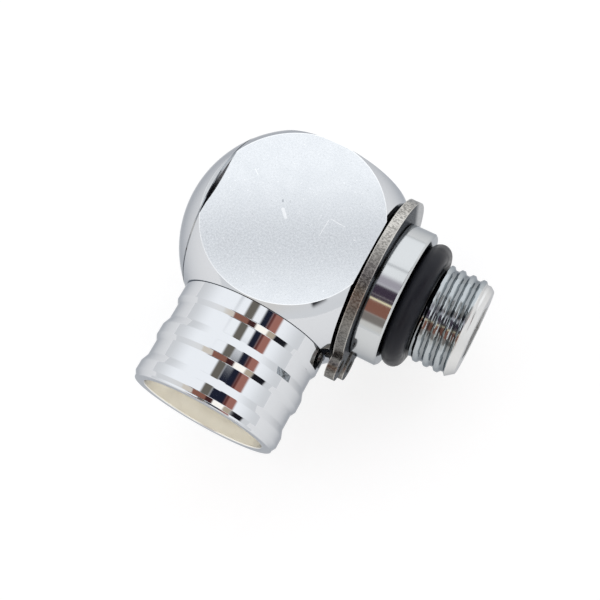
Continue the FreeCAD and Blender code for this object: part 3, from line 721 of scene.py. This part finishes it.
# Grey band that crosses the dome at a slant, which the front flat mirrors
BAND_SLANT = 0.53
BAND_RISE = (24.5, 27.5)
BAND_TURN = (-21, -5)
BAND_TONE = (0.66, 0.675, 0.705)
BAND_SOFT = 3.0

# The dome itself: below, above, and to both sides, where it is as bright as the table
DOME_LOW = (0.9, 0.88, 0.85)
DOME_HIGH = (1.27, 1.29, 1.32)
DOME_ASIDE = (0.915, 0.925, 0.94)


def make_world():
    """White studio dome with the cards that give the chrome its dark and brown streaks."""
    world = bpy.data.worlds.new("studio")
    world.use_nodes = True
    net = Net(world.node_tree)
    way = net.node("ShaderNodeTexCoord").outputs["Generated"]
    axes = net.node("ShaderNodeSeparateXYZ", {0: way}).outputs
    turn = net.math("MULTIPLY", net.math("ARCTAN2", axes["X"], axes["Z"]), 180 / math.pi)
    rise = net.math("MULTIPLY", net.math("ARCSINE", axes["Y"]), 180 / math.pi)
    colour = net.mix(net.ramp(rise, -60.0, -10.0), DOME_LOW, DOME_HIGH)
    colour = net.mix(net.ramp(net.math("ABSOLUTE", turn), 46.0, 88.0), colour, DOME_ASIDE)
    slanted = net.math("SUBTRACT", rise, net.math("MULTIPLY", turn, BAND_SLANT))
    band = net.math(
        "MULTIPLY",
        net.between(slanted, *BAND_RISE, BAND_SOFT),
        net.between(turn, *BAND_TURN, BAND_SOFT),
    )
    colour = net.mix(band, colour, BAND_TONE)
    for _, (left, right), (low, high), tone, soft in CARDS:
        inside = net.math(
            "MULTIPLY",
            net.between(turn, left, right, CARD_SIDE_SOFT),
            net.between(rise, low, high, soft),
        )
        colour = net.mix(inside, colour, tone)
    net.put(world.node_tree.nodes["Background"].inputs["Color"], colour)
    bpy.context.scene.world = world


# Table: half its width in metres, and the light that it gives out itself
TABLE_REACH = 0.6
TABLE_GLOW = 0.74


def make_table(height):
    """Pale table that the part lies on."""
    mesh_data = bmesh.new()
    corners = [
        (x * TABLE_REACH, y * TABLE_REACH, height)
        for x, y in ((-1, -1), (1, -1), (1, 1), (-1, 1))
    ]
    mesh_data.faces.new([mesh_data.verts.new(corner) for corner in corners])
    table = add_piece("table", mesh_data)
    material, net, shader, _ = new_finish("pale_table", (0.32, 0.32, 0.32), 0.0, 0.9)
    net.put(shader.inputs["Emission Color"], (1, 1, 1, 1))
    net.put(shader.inputs["Emission Strength"], TABLE_GLOW)
    table.data.materials.append(material)


def make_camera():
    """Camera whose picture puts the ball's centre on BALL_PIXEL, as the photograph does."""
    side = CAMERA_SIDE.normalized()
    down = (CAMERA_DOWN - side * CAMERA_DOWN.dot(side)).normalized()
    forward = side.cross(down)
    pixel = CAMERA_DISTANCE / FOCAL_PIXELS
    right_by = (BALL_PIXEL[0] - PHOTO_SIZE / 2) * pixel
    down_by = (BALL_PIXEL[1] - PHOTO_SIZE / 2) * pixel
    place = BALL - forward * CAMERA_DISTANCE - side * right_by - down * down_by
    data = bpy.data.cameras.new("photo_camera")
    data.lens = FOCAL_PIXELS / PHOTO_SIZE * data.sensor_width
    data.clip_start = 1 * MM
    camera = bpy.data.objects.new("photo_camera", data)
    axes = Matrix((side, -down, -forward)).transposed().to_4x4()
    camera.matrix_world = Matrix.Translation(place) @ axes
    bpy.context.scene.collection.objects.link(camera)
    bpy.context.scene.camera = camera


finishes = {
    "chrome_plate": ball_chrome(),
    "plated_stud": stud_plate(),
    "spring_steel": spring_steel(),
    "nitrile_rubber": black_rubber(),
    "white_ptfe": white_ptfe(),
}
for part in frame["record"]["subparts"]:
    materials = frame["nodes"][part["node"]].data.materials
    materials.clear()
    materials.append(finishes[part["material_slot"]])

cutter = thread_tree()
make_stud(cutter, finishes["plated_stud"])
make_barrel(cutter, mirror_chrome())

make_table(cad_box[0][2])
make_world()
make_camera()
bpy.context.scene.view_settings.view_transform = "Standard"
